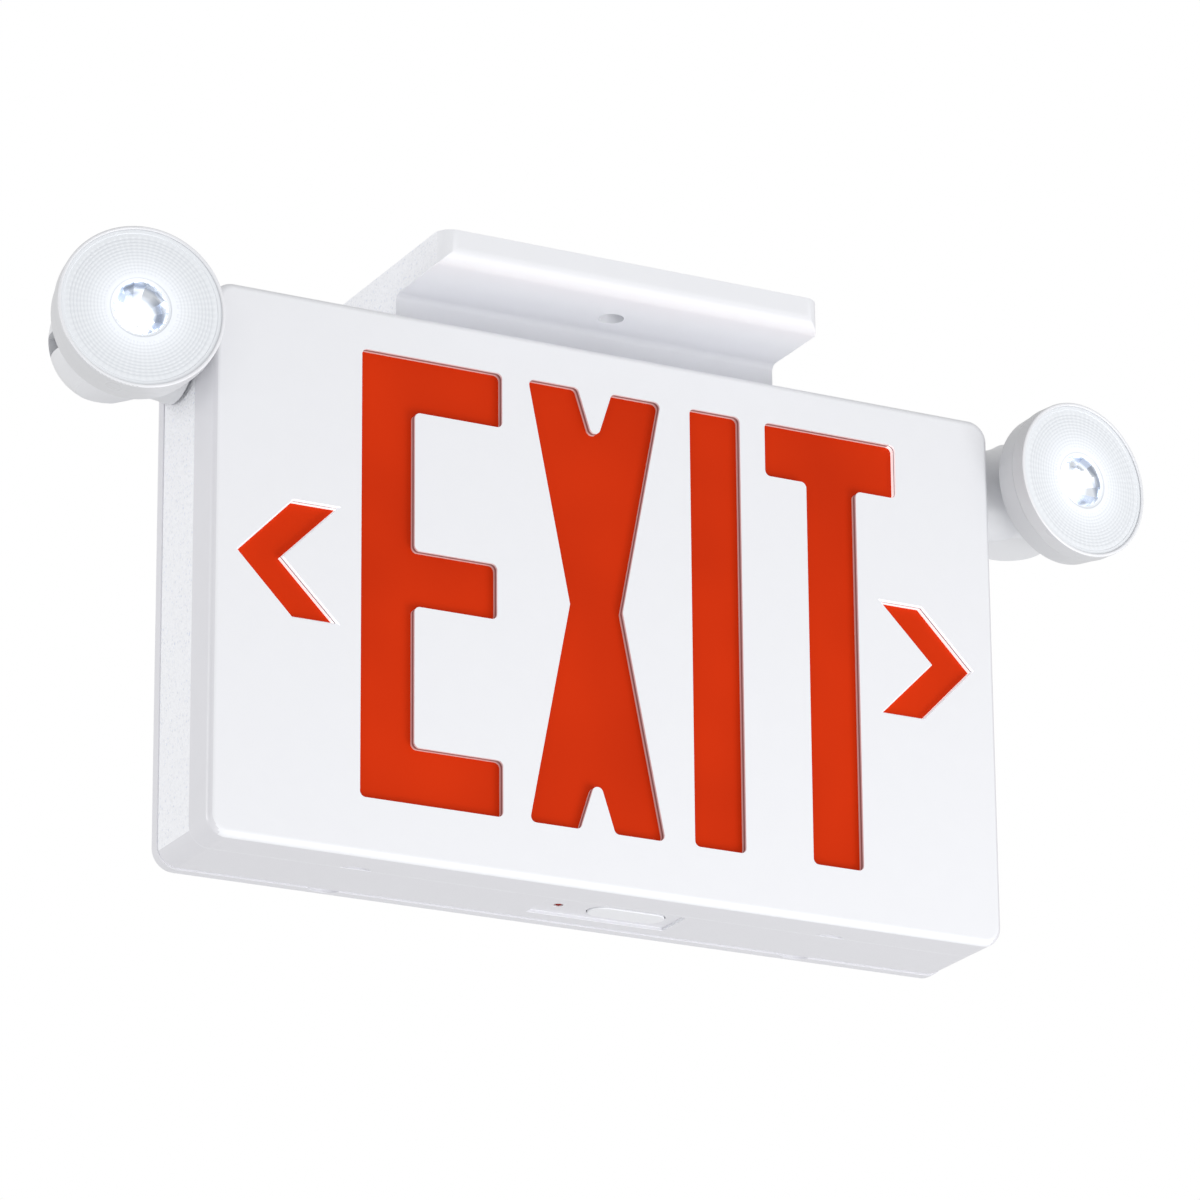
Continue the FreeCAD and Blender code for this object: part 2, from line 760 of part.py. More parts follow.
def head_shell():
    """Rear cup: spigot, tapering side, creased dome, and the tongue for the knuckle's slot."""
    start = bezel_end_y + seam_gap
    spigot_r = bezel_bore_r - fit_gap
    spigot_y = front_y + lens_thick + 0.05
    inner_r = spigot_r - shell_wall
    shoulder = (dome_shoulder_r, rim_y + dome_shoulder)
    pocket_y = puck_back_y - dome_wall
    path = [(0, pocket_y), (shell_pocket_r, pocket_y), (shell_pocket_r, ledge_y), (inner_r, ledge_y),
            (inner_r, spigot_y), (spigot_r, spigot_y), (spigot_r, start), (shell_front_r, start),
            (shell_crease_r, crease_y), (shoulder, (dome_flat_r, puck_back_y)), (0, puck_back_y)]
    cup = revolve_y(path, lamp_x, lens_z)
    half = tongue_thick / 2
    width = tongue_width / 2
    tongue = box(lamp_x - width, lamp_x + width, puck_back_y - 0.5, 0, lens_z - half, lens_z + half)
    tongue = tongue.fuse(cylinder(width, V(lamp_x, 0, lens_z - half), Z_AXIS, tongue_thick))
    bore = cylinder(pin_r + running_gap, V(lamp_x, 0, lens_z - half - 1), Z_AXIS, tongue_thick + 2)
    return one_solid(cup.fuse(tongue).cut(bore))


def lens():
    """Ringed disc with a well in the middle, moulded in clear plastic."""
    rim = lens_r + lens_seat
    wall_r = well_r + well_wall
    face = front_y + 0.4
    path = [(well_r, front_y + 0.9), (well_r + 0.4, face), (lens_ring_first, face)]
    pitch = (lens_ring_last - lens_ring_first) / lens_rings
    for index in range(lens_rings):
        start = lens_ring_first + pitch * index
        path.append((start + pitch * 0.35, face - lens_ring_height))
        path.append((start + pitch * 0.75, face - lens_ring_height))
        path.append((start + pitch, face))
    path += [(lens_r - 0.4, front_y + 0.1), (rim, front_y + 0.1), (rim, front_y + lens_thick),
             (wall_r, front_y + lens_thick), (wall_r - 0.2, front_y + well_depth),
             (well_r, front_y + well_depth)]
    return one_solid(revolve_y(path, lamp_x, lens_z))


def reflector():
    board_y = lamp_board_y
    lip = well_r - 0.2
    outline = [(lip, front_y + 1.2), (cup_throat_r + 2.4, board_y - 2.4), (cup_throat_r, board_y),
               (cup_throat_r + 2.2, board_y), (cup_throat_r + 3.2, board_y - 2.4),
               (lip - cup_wall * 0.1, front_y + 2.4)]
    return one_solid(revolve_y(outline, lamp_x, lens_z))


def lamp_board():
    board_y = lamp_board_y
    return cylinder(lamp_board_r, V(lamp_x, board_y, lens_z), Y_AXIS, board_thick)


def emitter():
    board_y = lamp_board_y
    half = emitter_size / 2
    base = box(lamp_x - half, lamp_x + half, board_y - emitter_thick, board_y,
               lens_z - half, lens_z + half)
    dome = Part.makeSphere(emitter_dome_r, V(lamp_x, board_y - emitter_thick, lens_z))
    keep = box(lamp_x - half, lamp_x + half, board_y - emitter_thick - emitter_dome_r - 1,
               board_y - emitter_thick / 2, lens_z - half, lens_z + half)
    return one_solid(base.fuse(dome.common(keep)))


def heat_sink():
    plate_y = ledge_y - sink_thick
    plate = cylinder(lamp_board_r - 1.0, V(lamp_x, plate_y, lens_z), Y_AXIS, sink_thick)
    pitch = 2 * (lamp_board_r - 4.0) / sink_fins
    for index in range(sink_fins):
        x = lamp_x - lamp_board_r + 4.0 + pitch * (index + 0.5)
        groove = box(x - pitch * 0.28, x + pitch * 0.28, plate_y + 1.2, plate_y + sink_thick + 1,
                     lens_z - lamp_board_r, lens_z + lamp_board_r)
        plate = plate.cut(groove)
    return one_solid(plate)


def toed(shape):
    placed = shape.copy()
    placed.rotate(V(lamp_x, 0, 0), Z_AXIS, toe_out)
    return placed


def handed(shape, side):
    if side > 0:
        return shape
    return shape.mirror(V(0, 0, 0), X_AXIS)


# ---------------------------------------------------------------- test button and status light
def test_button():
    face_z = recess_z - button_stand
    cap = oblong(button_length, button_width, button_x, control_y, face_z, pad_top + 0.5)
    flange = oblong(button_length + 2 * button_flange_rim, button_width + 2 * button_flange_rim,
                    button_x, control_y, pad_top + 0.1, pad_top + 0.1 + button_flange)
    stem = cylinder(1.8, V(button_x, control_y, pad_top + 0.5), Z_AXIS, plunger_low() - pad_top - 0.5)
    cap = cap.fuse(flange).fuse(stem)
    rim = [edge for edge in cap.Edges if abs(edge.BoundBox.ZMax - face_z) < 1e-6]
    return one_solid(cap.makeFillet(0.4, rim))


def plunger_low():
    return pad_top + 0.1 + button_flange + 2.4


def switch_low():
    return plunger_low() + button_travel + 0.4


def test_switch():
    """Push switch lying on the front of the charger board, plunger down."""
    half = switch_size / 2
    low = switch_low()
    case = box(button_x - half, button_x + half, control_y - half, charger_y,
               low, low + switch_height)
    bore = cylinder(plunger_r + running_gap, V(button_x, control_y, low - 1), Z_AXIS,
                    3.6 + button_travel)
    return one_solid(case.cut(bore))


def switch_plunger():
    low = plunger_low()
    return cylinder(plunger_r, V(button_x, control_y, low), Z_AXIS, switch_low() - low + 2.2)


def status_led():
    tip = recess_z - 0.2
    body = cylinder(status_r, V(status_x, control_y, tip + status_r), Z_AXIS, 6.0)
    dome = Part.makeSphere(status_r, V(status_x, control_y, tip + status_r))
    collar = cylinder(status_r + 0.4, V(status_x, control_y, tip + 6.5), Z_AXIS, 1.0)
    return one_solid(body.fuse(dome).fuse(collar))


def status_holder():
    """Black spacer that carries the status light off the board."""
    low = recess_z - 0.2 + status_r + 6.0
    return box(status_x - 2.6, status_x + 2.6, control_y - 2.6, charger_y, low, low + 5.0)


# ---------------------------------------------------------------- electronics
def charger_board():
    board = box(charger_left, charger_right, charger_y, charger_y + board_thick,
                charger_bottom, charger_bottom + charger_height)
    for x, z in charger_post_places():
        board = board.cut(cylinder(screw_r + fit_gap, V(x, charger_y - 1, z), Y_AXIS, board_thick + 2))
    return one_solid(board)


def board_screws():
    seat = charger_y + board_thick
    return group([screw(V(x, seat, z), Y_AXIS * -1, board_screw_length)
                  for x, z in charger_post_places()])


def transformer():
    """Ferrite core in two cheeks round a taped winding."""
    back = charger_y + board_thick
    size = transformer_size
    cheek = size * 0.23
    x0 = charger_right - transformer_inset - size
    z0 = charger_bottom + charger_height - transformer_drop - size
    low = box(x0, x0 + size, back, back + transformer_tall, z0, z0 + cheek)
    high = box(x0, x0 + size, back, back + transformer_tall, z0 + size - cheek, z0 + size)
    winding = box(x0 + 4, x0 + size - 4, back, back + transformer_tall - 1,
                  z0 + cheek - 2, z0 + size - cheek + 2)
    return one_solid(low.fuse(high).fuse(rounded(winding, Z_AXIS, 2.5)))


def capacitors():
    back = charger_y + board_thick
    z0 = charger_bottom + charger_height - capacitor_drop
    parts = []
    for x, radius, tall in ((-4.0, 5.0, 10.0), (9.0, 4.0, 9.0), (-16.0, 4.0, 9.0)):
        can = cylinder(radius, V(x, back, z0), Y_AXIS, tall)
        can = can.makeFillet(0.6, [edge for edge in can.Edges
                                   if abs(edge.BoundBox.YMin - back - tall) < 1e-6
                                   and abs(edge.BoundBox.YMax - back - tall) < 1e-6])
        parts.append(can)
    return group(parts)


def terminal_block():
    back = charger_y + board_thick
    x0 = charger_left + terminal_inset
    z0 = charger_bottom + terminal_rise
    ways = 3
    pitch = 7.0
    block = box(x0, x0 + ways * pitch, back, back + 10.0, z0, z0 + 9.0)
    for index in range(ways):
        x = x0 + pitch * (index + 0.5)
        block = block.cut(cylinder(2.0, V(x, back + 3.0, z0 + 4.5), Y_AXIS, 10))
        block = block.cut(box(x - 2, x + 2, back + 1.5, back + 5.5, z0 - 1, z0 + 3.5))
    return one_solid(block)


def cell_places():
    low = body_bottom + battery_rise + cell_r + bracket_thick
    return [low + cell_pitch * index for index in range(cell_count)]


def battery_cells():
    y = tray_back_y + bracket_thick + cell_r
    cells = []
    for z in cell_places():
        can = cylinder(cell_r, V(cell_x - cell_length / 2, y, z), X_AXIS, cell_length - 1.0)
        button = cylinder(2.6, V(cell_x + cell_length / 2 - 1.2, y, z), X_AXIS, 1.2)
        cells.append(can.fuse(button))
    return group(cells)


def battery_bracket():
    """Cradle clipped to the back of the tray."""
    zs = cell_places()
    z0 = zs[0] - cell_r - bracket_thick - 0.2
    z1 = zs[-1] + cell_r + bracket_thick + 0.2
    end = cell_length / 2 + 0.3
    depth = bracket_thick + cell_r * 1.5
    outer = box(cell_x - end - bracket_thick, cell_x + end + bracket_thick,
                tray_back_y, tray_back_y + depth, z0, z1)
    inner = box(cell_x - end, cell_x + end, tray_back_y + bracket_thick, tray_back_y + depth + 1,
                z0 + bracket_thick, z1 - bracket_thick)
    return one_solid(outer.cut(inner))


# ---------------------------------------------------------------- nodes
def build():
    nodes = {
        "face_plate": face_plate(),
        "housing_frame": housing_frame(),
        "back_plate": back_plate(),
        "red_panel": red_panel(),
        "light_tray": light_tray(),
        "tray_screws": tray_screws(),
        "led_strips": led_strips(),
        "strip_leds": strip_leds(),
        "canopy": canopy(),
        "canopy_screws": canopy_screws(),
        "wire_bush": wire_bush(),
        "test_button": test_button(),
        "switch_plunger": switch_plunger(),
        "test_switch": test_switch(),
        "status_led": status_led(),
        "status_holder": status_holder(),
        "charger_board": charger_board(),
        "board_screws": board_screws(),
        "transformer": transformer(),
        "capacitors": capacitors(),
        "terminal_block": terminal_block(),
        "battery_cells": battery_cells(),
        "battery_bracket": battery_bracket(),
    }
    fixed = {"arm": arm(), "pivot_pin": pivot_pin(), "arm_bush": arm_bush(), "arm_nut": arm_nut()}
    turned = {"head_shell": head_shell(), "head_bezel": head_bezel(), "lens": lens(),
              "reflector": reflector(), "lamp_board": lamp_board(), "lamp_emitter": emitter(),
              "heat_sink": heat_sink()}
    for side_name, side in SIDES:
        for name, shape in fixed.items():
            nodes[side_name + "_" + name] = handed(shape, side)
        for name, shape in turned.items():
            nodes[side_name + "_" + name] = handed(toed(shape), side)
    return nodes


os.makedirs("parts", exist_ok=True)
for node_name, node_shape in build().items():
    node_shape.exportStep("parts/" + node_name + ".step")
    print(node_name, len(node_shape.Solids), round(node_shape.Volume, 1), node_shape.isValid())
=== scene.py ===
"""Emergency exit light: a stencilled sign hung from a ceiling canopy, with a lamp head at each end."""
import json
import math
import random

import bmesh
import bpy
from mathutils import Matrix, Vector


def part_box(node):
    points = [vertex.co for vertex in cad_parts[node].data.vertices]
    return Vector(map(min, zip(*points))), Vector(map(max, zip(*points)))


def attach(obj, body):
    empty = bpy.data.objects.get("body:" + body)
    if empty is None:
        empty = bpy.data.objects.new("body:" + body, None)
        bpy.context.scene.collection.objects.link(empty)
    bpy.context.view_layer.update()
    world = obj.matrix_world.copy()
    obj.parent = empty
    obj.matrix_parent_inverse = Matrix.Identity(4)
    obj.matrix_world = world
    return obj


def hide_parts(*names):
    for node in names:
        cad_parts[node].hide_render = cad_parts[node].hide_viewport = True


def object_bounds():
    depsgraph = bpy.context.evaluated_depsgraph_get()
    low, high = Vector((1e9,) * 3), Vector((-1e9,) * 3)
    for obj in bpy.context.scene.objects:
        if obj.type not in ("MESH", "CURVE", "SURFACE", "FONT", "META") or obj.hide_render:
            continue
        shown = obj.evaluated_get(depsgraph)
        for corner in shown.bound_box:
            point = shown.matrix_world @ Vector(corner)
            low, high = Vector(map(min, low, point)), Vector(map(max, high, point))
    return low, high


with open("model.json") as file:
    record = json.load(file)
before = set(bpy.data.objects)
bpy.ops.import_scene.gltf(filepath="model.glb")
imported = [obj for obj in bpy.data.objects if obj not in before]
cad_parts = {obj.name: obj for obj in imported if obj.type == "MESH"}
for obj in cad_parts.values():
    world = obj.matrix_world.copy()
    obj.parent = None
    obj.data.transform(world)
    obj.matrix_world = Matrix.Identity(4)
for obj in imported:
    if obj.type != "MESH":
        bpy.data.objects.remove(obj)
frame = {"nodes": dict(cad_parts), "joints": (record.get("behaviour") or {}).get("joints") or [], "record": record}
cad_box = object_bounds()

# ---------------------------------------------------------------- the stencil face plate
# One white ABS moulding, open behind, that snaps over the housing. The letters and chevrons
# are cut right through it. The front is a smooth satin; its edge band is polished by the tool, and
# its greyer white there is painted shade.
mm = 0.001
face_edge_soft = 0.30 * mm
satin_white = "F3F4F8"
# Painted shade: a greyer white for the sides and undersides that face away from the lamps.
shaded_band_white = "E4E4E9"


def linear(hex_colour):
    """An sRGB hex value as linear red, green, blue and a full alpha."""
    channels = [int(hex_colour[i:i + 2], 16) / 255 for i in (0, 2, 4)]
    return [c / 12.92 if c <= 0.04045 else ((c + 0.055) / 1.055) ** 2.4 for c in channels] + [1.0]


def add(tree, kind, inputs=(), stops=(), **settings):
    """Add a node, set its properties, and set or link its inputs. stops lists (position, colour)
    from low to high for a node that has a colour ramp."""
    made = tree.nodes.new("ShaderNode" + kind)
    for key, value in settings.items():
        setattr(made, key, value)
    for key, value in dict(inputs).items():
        socket = made.inputs[key]
        if isinstance(value, bpy.types.NodeSocket):
            tree.links.new(value, socket)
        else:
            socket.default_value = value
    if stops:
        elements = made.color_ramp.elements
        elements[0].position = stops[0][0]
        elements[1].position = stops[-1][0]
        for position, _ in stops[1:-1]:
            elements.new(position)
        for element, (_, colour) in zip(elements, stops):
            element.color = linear(colour)
    return made


MIX_A, MIX_B, MIX_RESULT = 6, 7, 2  # the colour sockets of a Mix node


def finish_named(name, colour, roughness, ior=1.5, **extra):
    """A material with one Principled shader, ready for its pattern."""
    material = bpy.data.materials.new(name)
    material.use_nodes = True
    tree = material.node_tree
    tree.nodes.clear()
    values = {"Base Color": linear(colour), "Roughness": roughness, "IOR": ior}
    values.update(extra)
    shader = add(tree, "BsdfPrincipled", values)
    output = add(tree, "OutputMaterial")
    tree.links.new(shader.outputs["BSDF"], output.inputs["Surface"])
    return material, tree, shader


def mottled(name, colour, roughness, size_mm, depth_mm, detail, darker, rough_swing=0.0, **extra):
    """A material with noise of a real grain size as bump. Its hollows are darker by a share of the
    colour, and its roughness swings by the same noise."""
    material, tree, shader = finish_named(name, colour, roughness, **extra)
    place = add(tree, "TexCoord")
    pattern = add(tree, "TexNoise", {"Vector": place.outputs["Object"], "Scale": 1 / (size_mm * mm),
                                     "Detail": detail, "Roughness": 0.55})
    bump = add(tree, "Bump", {"Height": pattern.outputs["Fac"], "Distance": depth_mm * mm,
                              "Strength": 1.0})
    tree.links.new(bump.outputs["Normal"], shader.inputs["Normal"])
    low = [c * (1 - darker) for c in linear(colour)[:3]] + [1.0]
    blend = add(tree, "Mix", {"Factor": pattern.outputs["Fac"], MIX_A: low, MIX_B: linear(colour)},
                data_type="RGBA")
    tree.links.new(blend.outputs[MIX_RESULT], shader.inputs["Base Color"])
    if rough_swing:
        swing = add(tree, "MapRange", {"Value": pattern.outputs["Fac"],
                                       "To Min": roughness - rough_swing,
                                       "To Max": roughness + rough_swing})
        tree.links.new(swing.outputs["Result"], shader.inputs["Roughness"])
    return material


# Satin ABS from a polished and vapour-honed tool: even white, a soft broad sheen, and a
# faint flow ripple 9 mm long that only shows where a light edge grazes it.
satin_abs = mottled("satin_abs_face", satin_white, 0.42, size_mm=9.0, depth_mm=0.010, detail=1.0,
                    darker=0.015, rough_swing=0.04, ior=1.54)
# The edge band is the same ABS off the tool's polished wall, and its greyer white is painted shade.
shaded_band_abs = mottled("polished_abs_edge_band_painted_shade", shaded_band_white, 0.30, size_mm=7.0, depth_mm=0.006,
                   detail=1.0, darker=0.02, rough_swing=0.04, ior=1.54)

aperture_depth = 2.9 * mm


def painted_aperture_wall(name, stops, painted_glow=0.0):
    """The same ABS on the wall of an aperture, with light and shade painted into its colour: a painted
    highlight at the rounded front edge, painted shade, then the panel's red light painted in. stops lists
    (share of the depth, colour), and the last argument is a painted glow that whitens the thin wall."""
    material, tree, shader = finish_named(name, satin_white, 0.45, 1.54)
    place = add(tree, "TexCoord")
    split = add(tree, "SeparateXYZ", {"Vector": place.outputs["Object"]})
    front_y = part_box("face_plate")[0].y
    share = add(tree, "MapRange", {"Value": split.outputs["Y"], "From Min": front_y,
                                   "From Max": front_y + aperture_depth})
    shades = add(tree, "ValToRGB", {"Fac": share.outputs["Result"]}, stops)
    tree.links.new(shades.outputs["Color"], shader.inputs["Base Color"])
    tree.links.new(shades.outputs["Color"], shader.inputs["Emission Color"])
    shader.inputs["Emission Strength"].default_value = painted_glow
    return material


# The letters' wall: a painted highlight at its white rim, a stripe of painted shade, and the pink of the panel's
# light painted in.
letter_wall_painted_shade = painted_aperture_wall("satin_abs_letter_wall_painted_shade", [
    (0.0, "FBFBFD"), (0.22, "F6F4F6"), (0.34, "8F7676"), (0.60, "9C7A78"), (0.74, "F3E6E6"),
    (1.0, "E9C9C4")])
# The chevrons' wall is a thinner web, with a painted glow that whitens it and one dark line of painted shade at
# its score.
chevron_wall_painted_light = painted_aperture_wall("satin_abs_chevron_wall_painted_light", [
    (0.0, "FBFBFD"), (0.25, "F4F5F8"), (0.31, "565C64"), (0.40, "5E646C"), (0.46, "FFFFFF"),
    (1.0, "FFFFFF")], painted_glow=0.42)

body_named = {n: b for b, members in frame["record"]["behaviour"]["bodies"].items() for n in members}

crease_angle = 28.0  # degrees: a sharper turn than this is an edge
weld_gap = 0.002 * mm
flat_angle = 0.4  # degrees


def ease_edges(piece, width, crease=crease_angle, segments=2):
    """Round every edge a little, as the tool leaves it."""
    bevel = piece.modifiers.new("eased_edges", "BEVEL")
    bevel.width = width
    bevel.segments = segments
    bevel.limit_method = "ANGLE"
    bevel.angle_limit = math.radians(crease)
    bevel.use_clamp_overlap = True


def flatten_flats(piece):
    """Shade each flat as flat, so that only the rounds beside it turn the light."""
    weigh = piece.modifiers.new("flat_flats", "WEIGHTED_NORMAL")
    weigh.weight = 100
    weigh.keep_sharp = True


def clean_copy(node, *materials, soften=0.0, crease=crease_angle, segments=2):
    """The node's own shape as a new piece with these materials: welded, smooth shaded between
    creases, and with its edges eased by soften, in mm."""
    mesh = frame["nodes"][node].data.copy()
    mesh.name = node + "_finished"
    mesh.materials.clear()
    work = bmesh.new()
    work.from_mesh(mesh)
    bmesh.ops.remove_doubles(work, verts=work.verts, dist=weld_gap)
    bmesh.ops.dissolve_limit(work, angle_limit=math.radians(flat_angle), verts=work.verts,
                             edges=work.edges)
    work.to_mesh(mesh)
    work.free()
    mesh.shade_smooth()
    mesh.set_sharp_from_angle(angle=math.radians(crease))
    for material in materials:
        mesh.materials.append(material)
    piece = bpy.data.objects.new(node + "_finished", mesh)
    bpy.context.scene.collection.objects.link(piece)
    if soften:
        ease_edges(piece, soften * mm, crease, segments)
    flatten_flats(piece)
    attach(piece, body_named[node])
    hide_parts(node)
    return piece


face_low, face_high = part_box("face_plate")
chevron_height = 39.2 * mm
chevron_zone = 45 * mm  # each chevron lies within this of the side of the face
chevron_thick = 15.2 * mm
chevron_shoulder = 19.2 * mm
chevron_tip = 9.1 * mm  # in from the side of the face
figures_rise = 2.3 * mm
score_width = 0.45 * mm
score_depth = 0.55 * mm
cutter_lead = 1.0 * mm


def chevron_outline(side):
    """Corners (x, z) of one chevron, from its tip round."""
    tall = chevron_height / 2
    tip_x = face_high.x - chevron_tip
    centre_z = (face_low.z + face_high.z) / 2 + figures_rise
    corners = [(0, 0), (chevron_shoulder, tall), (chevron_thick + tall, tall), (chevron_thick, 0),
               (chevron_thick + tall, -tall), (chevron_shoulder, -tall)]
    return [Vector((side * (tip_x - x), centre_z + z)) for x, z in corners]


def widened(outline, margin):
    """The outline, of whichever turn, moved out by the margin, with mitred corners."""
    doubled_area = sum(a.x * b.y - b.x * a.y for a, b in zip(outline, outline[1:] + outline[:1]))
    turn = math.copysign(1.0, doubled_area)
    moved = []
    for index, corner in enumerate(outline):
        before = (corner - outline[index - 1]).normalized()
        after = (outline[(index + 1) % len(outline)] - corner).normalized()
        normal_a = Vector((before.y, -before.x)) * turn
        normal_b = Vector((after.y, -after.x)) * turn
        mitre = (normal_a + normal_b).normalized()
        moved.append(corner + mitre * margin / mitre.dot(normal_a))
    return moved


def cut_prism(piece, outline, y0, y1):
    """Cut a prism with this (x, z) outline out of the piece, for good."""
    count = len(outline)
    verts = [(c.x, y, c.y) for y in (y0, y1) for c in outline]
    faces = [tuple(range(count)), tuple(range(2 * count - 1, count - 1, -1))]
    faces += [(i, (i + 1) % count, (i + 1) % count + count, i + count) for i in range(count)]
    mesh = bpy.data.meshes.new("cutter")
    mesh.from_pydata(verts, [], faces)
    work = bmesh.new()
    work.from_mesh(mesh)
    bmesh.ops.recalc_face_normals(work, faces=work.faces)
    work.to_mesh(mesh)
    work.free()
    tool = bpy.data.objects.new("cutter", mesh)
    bpy.context.scene.collection.objects.link(tool)
    cut = piece.modifiers.new("cut", "BOOLEAN")
    cut.operation = "DIFFERENCE"
    cut.solver = "EXACT"
    cut.object = tool
    bpy.context.view_layer.update()
    result = bpy.data.meshes.new_from_object(piece.evaluated_get(bpy.context.evaluated_depsgraph_get()))
    piece.modifiers.remove(cut)
    old, piece.data = piece.data, result
    bpy.data.meshes.remove(old)
    bpy.data.objects.remove(tool)
    bpy.data.meshes.remove(mesh)


# Each chevron is a knock-out: it stands in a fine scored step, which reads as a thin dark line; that line is
# partly painted shade in the chevron wall's colours.
face = clean_copy("face_plate")
for side in (-1, 1):
    cut_prism(face, widened(chevron_outline(side), score_width), face_low.y - cutter_lead,
              face_low.y + score_depth)
face.data.set_sharp_from_angle(angle=math.radians(crease_angle))
face.modifiers.clear()
ease_edges(face, face_edge_soft)
flatten_flats(face)
face.data.materials.clear()
for material in (satin_abs, shaded_band_abs, letter_wall_painted_shade, chevron_wall_painted_light):
    face.data.materials.append(material)
rim_width = 7.1 * mm
front_round = 2.0 * mm
side_turn = 0.35  # the round belongs to the side once its normal has turned this far
face_middle = (face_low + face_high) / 2
SATIN, SHADED_BAND, LETTER_WALL, CHEVRON_WALL = range(4)
# Painted shade: the rim's sides and skirt take the greyer band white.
for polygon in face.data.polygons:
    centre, normal = polygon.center, polygon.normal
    near_rim = (abs(centre.x) > face_high.x - rim_width or centre.z > face_high.z - rim_width
                or centre.z < face_low.z + rim_width)
    outward = (centre.x - face_middle.x) * normal.x + (centre.z - face_middle.z) * normal.z > 0
    behind_front = centre.y > face_low.y + front_round
    if near_rim:
        on_side = outward and abs(normal.x) > side_turn and centre.z < face_high.z - rim_width
        skirt = outward and behind_front and abs(normal.y) < 0.5
        polygon.material_index = SHADED_BAND if skirt or on_side else SATIN
    elif abs(normal.y) < 0.5 and centre.y < face_low.y + aperture_depth:
        in_chevron = abs(centre.x) > face_high.x - chevron_zone
        polygon.material_index = CHEVRON_WALL if in_chevron else LETTER_WALL

# ---------------------------------------------------------------- the housing frame
# The deep white ABS ring that carries everything. Its outside was spark eroded in the tool,
# which leaves a fine pebbled grain that scatters light and looks whiter than the face.
grain_mm = 1.3  # the real grain is about 0.4 mm, drawn coarser so that it shows
pit_mm = 0.7 * grain_mm
pit_depth = 0.42 * mm
pebble_white = "FAFBFF"
pit_white = "DAE1F2"

pebbled_abs, tree, shader = finish_named("spark_eroded_abs_housing", pebble_white, 0.62, 1.54)
place = add(tree, "TexCoord")
cells = add(tree, "TexVoronoi", {"Vector": place.outputs["Object"], "Scale": 1 / (grain_mm * mm)},
            feature="SMOOTH_F1")
fine = add(tree, "TexNoise", {"Vector": place.outputs["Object"], "Scale": 1 / (pit_mm * mm),
                              "Detail": 3.0})
height = add(tree, "Math", {0: cells.outputs["Distance"], 1: fine.outputs["Fac"]}, operation="ADD")
bump = add(tree, "Bump", {"Height": height.outputs["Value"], "Distance": pit_depth, "Strength": 1.0})
tree.links.new(bump.outputs["Normal"], shader.inputs["Normal"])
pits = add(tree, "ValToRGB", {"Fac": height.outputs["Value"]},
           [(0.35, pit_white), (0.75, pebble_white)])
tree.links.new(pits.outputs["Color"], shader.inputs["Base Color"])

# Only the flat side walls and the top carry the grain: corners and underside are smooth and take the
# greyer band white as painted shade, and the eased edges keep the face's white, so they show as
# bright lines.
PLAIN, GRAINED, EDGE = range(3)
squarely = 0.97  # a flat faces an axis squarely when its normal has this share of it
housing = clean_copy("housing_frame", shaded_band_abs, pebbled_abs, satin_abs, soften=0.35)
housing.modifiers["eased_edges"].material = EDGE
for polygon in housing.data.polygons:
    grained = abs(polygon.normal.x) > squarely or polygon.normal.z > squarely
    polygon.material_index = GRAINED if grained else PLAIN

# ---------------------------------------------------------------- the back plate
# A shallow ABS lid with scored knock-outs and two keyholes. Its rim stands a little proud of
# the housing, so a thin shadow line shows all round.
# Painted shade: the lid takes the greyer band white.
clean_copy("back_plate", shaded_band_abs, soften=0.25)

# ---------------------------------------------------------------- the red panel
# A translucent red acrylic sheet behind the stencil, lit from behind by the LED strips. The
# light falls off a little between the lamps, so the red is never quite even.
lit_red = "C9310A"
deep_red = "BA2B08"
cloud_size = 45 * mm
red_acrylic, tree, shader = finish_named("lit_red_acrylic", lit_red, 0.38, 1.49)
place = add(tree, "TexCoord")
cloud = add(tree, "TexNoise", {"Vector": place.outputs["Object"], "Scale": 1 / cloud_size,
                               "Detail": 1.0})
reds = add(tree, "ValToRGB", {"Fac": cloud.outputs["Fac"]}, [(0.25, deep_red), (0.75, lit_red)])
tree.links.new(reds.outputs["Color"], shader.inputs["Base Color"])
tree.links.new(reds.outputs["Color"], shader.inputs["Emission Color"])
shader.inputs["Emission Strength"].default_value = 0.20
shader.inputs["Specular IOR Level"].default_value = 0.05
clean_copy("red_panel", red_acrylic)

# ---------------------------------------------------------------- the light box
# A white moulded tray behind the panel, with two LED strips under its long walls. Screws hold
# it to posts in the housing.

# Matt moulded ABS, an even dull white.
tray_abs = mottled("matt_white_abs_tray", "F1F1EE", 0.55, size_mm=3.0, depth_mm=0.02, detail=2.0,
                   darker=0.03, ior=1.54)
# Glass board under green solder mask: glossy, with the copper as darker clouds.
board_green = mottled("green_solder_mask", "1C6B3A", 0.30, size_mm=2.2, depth_mm=0.02, detail=3.0,
                      darker=0.25, rough_swing=0.05)
# Steel with bright zinc plate: a cool grey metal with a fine bloom.
zinc = mottled("bright_zinc_plate", "C9CDD2", 0.28, size_mm=0.8, depth_mm=0.01, detail=2.0,
               darker=0.12, rough_swing=0.08, Metallic=1.0)


def own_light(colour, strength):
    """Shader values of a piece that is lit from inside."""
    return {"Emission Color": linear(colour), "Emission Strength": strength}


# Clear red epoxy, lit: a small hard red.
red_resin = mottled("red_led_resin", "D8241A", 0.18, size_mm=1.2, depth_mm=0.01, detail=1.0,
                    darker=0.1, **own_light("FF3A1A", 1.2))
clean_copy("light_tray", tray_abs, soften=0.2)
clean_copy("led_strips", board_green)
clean_copy("strip_leds", red_resin)
clean_copy("tray_screws", zinc, soften=0.15)

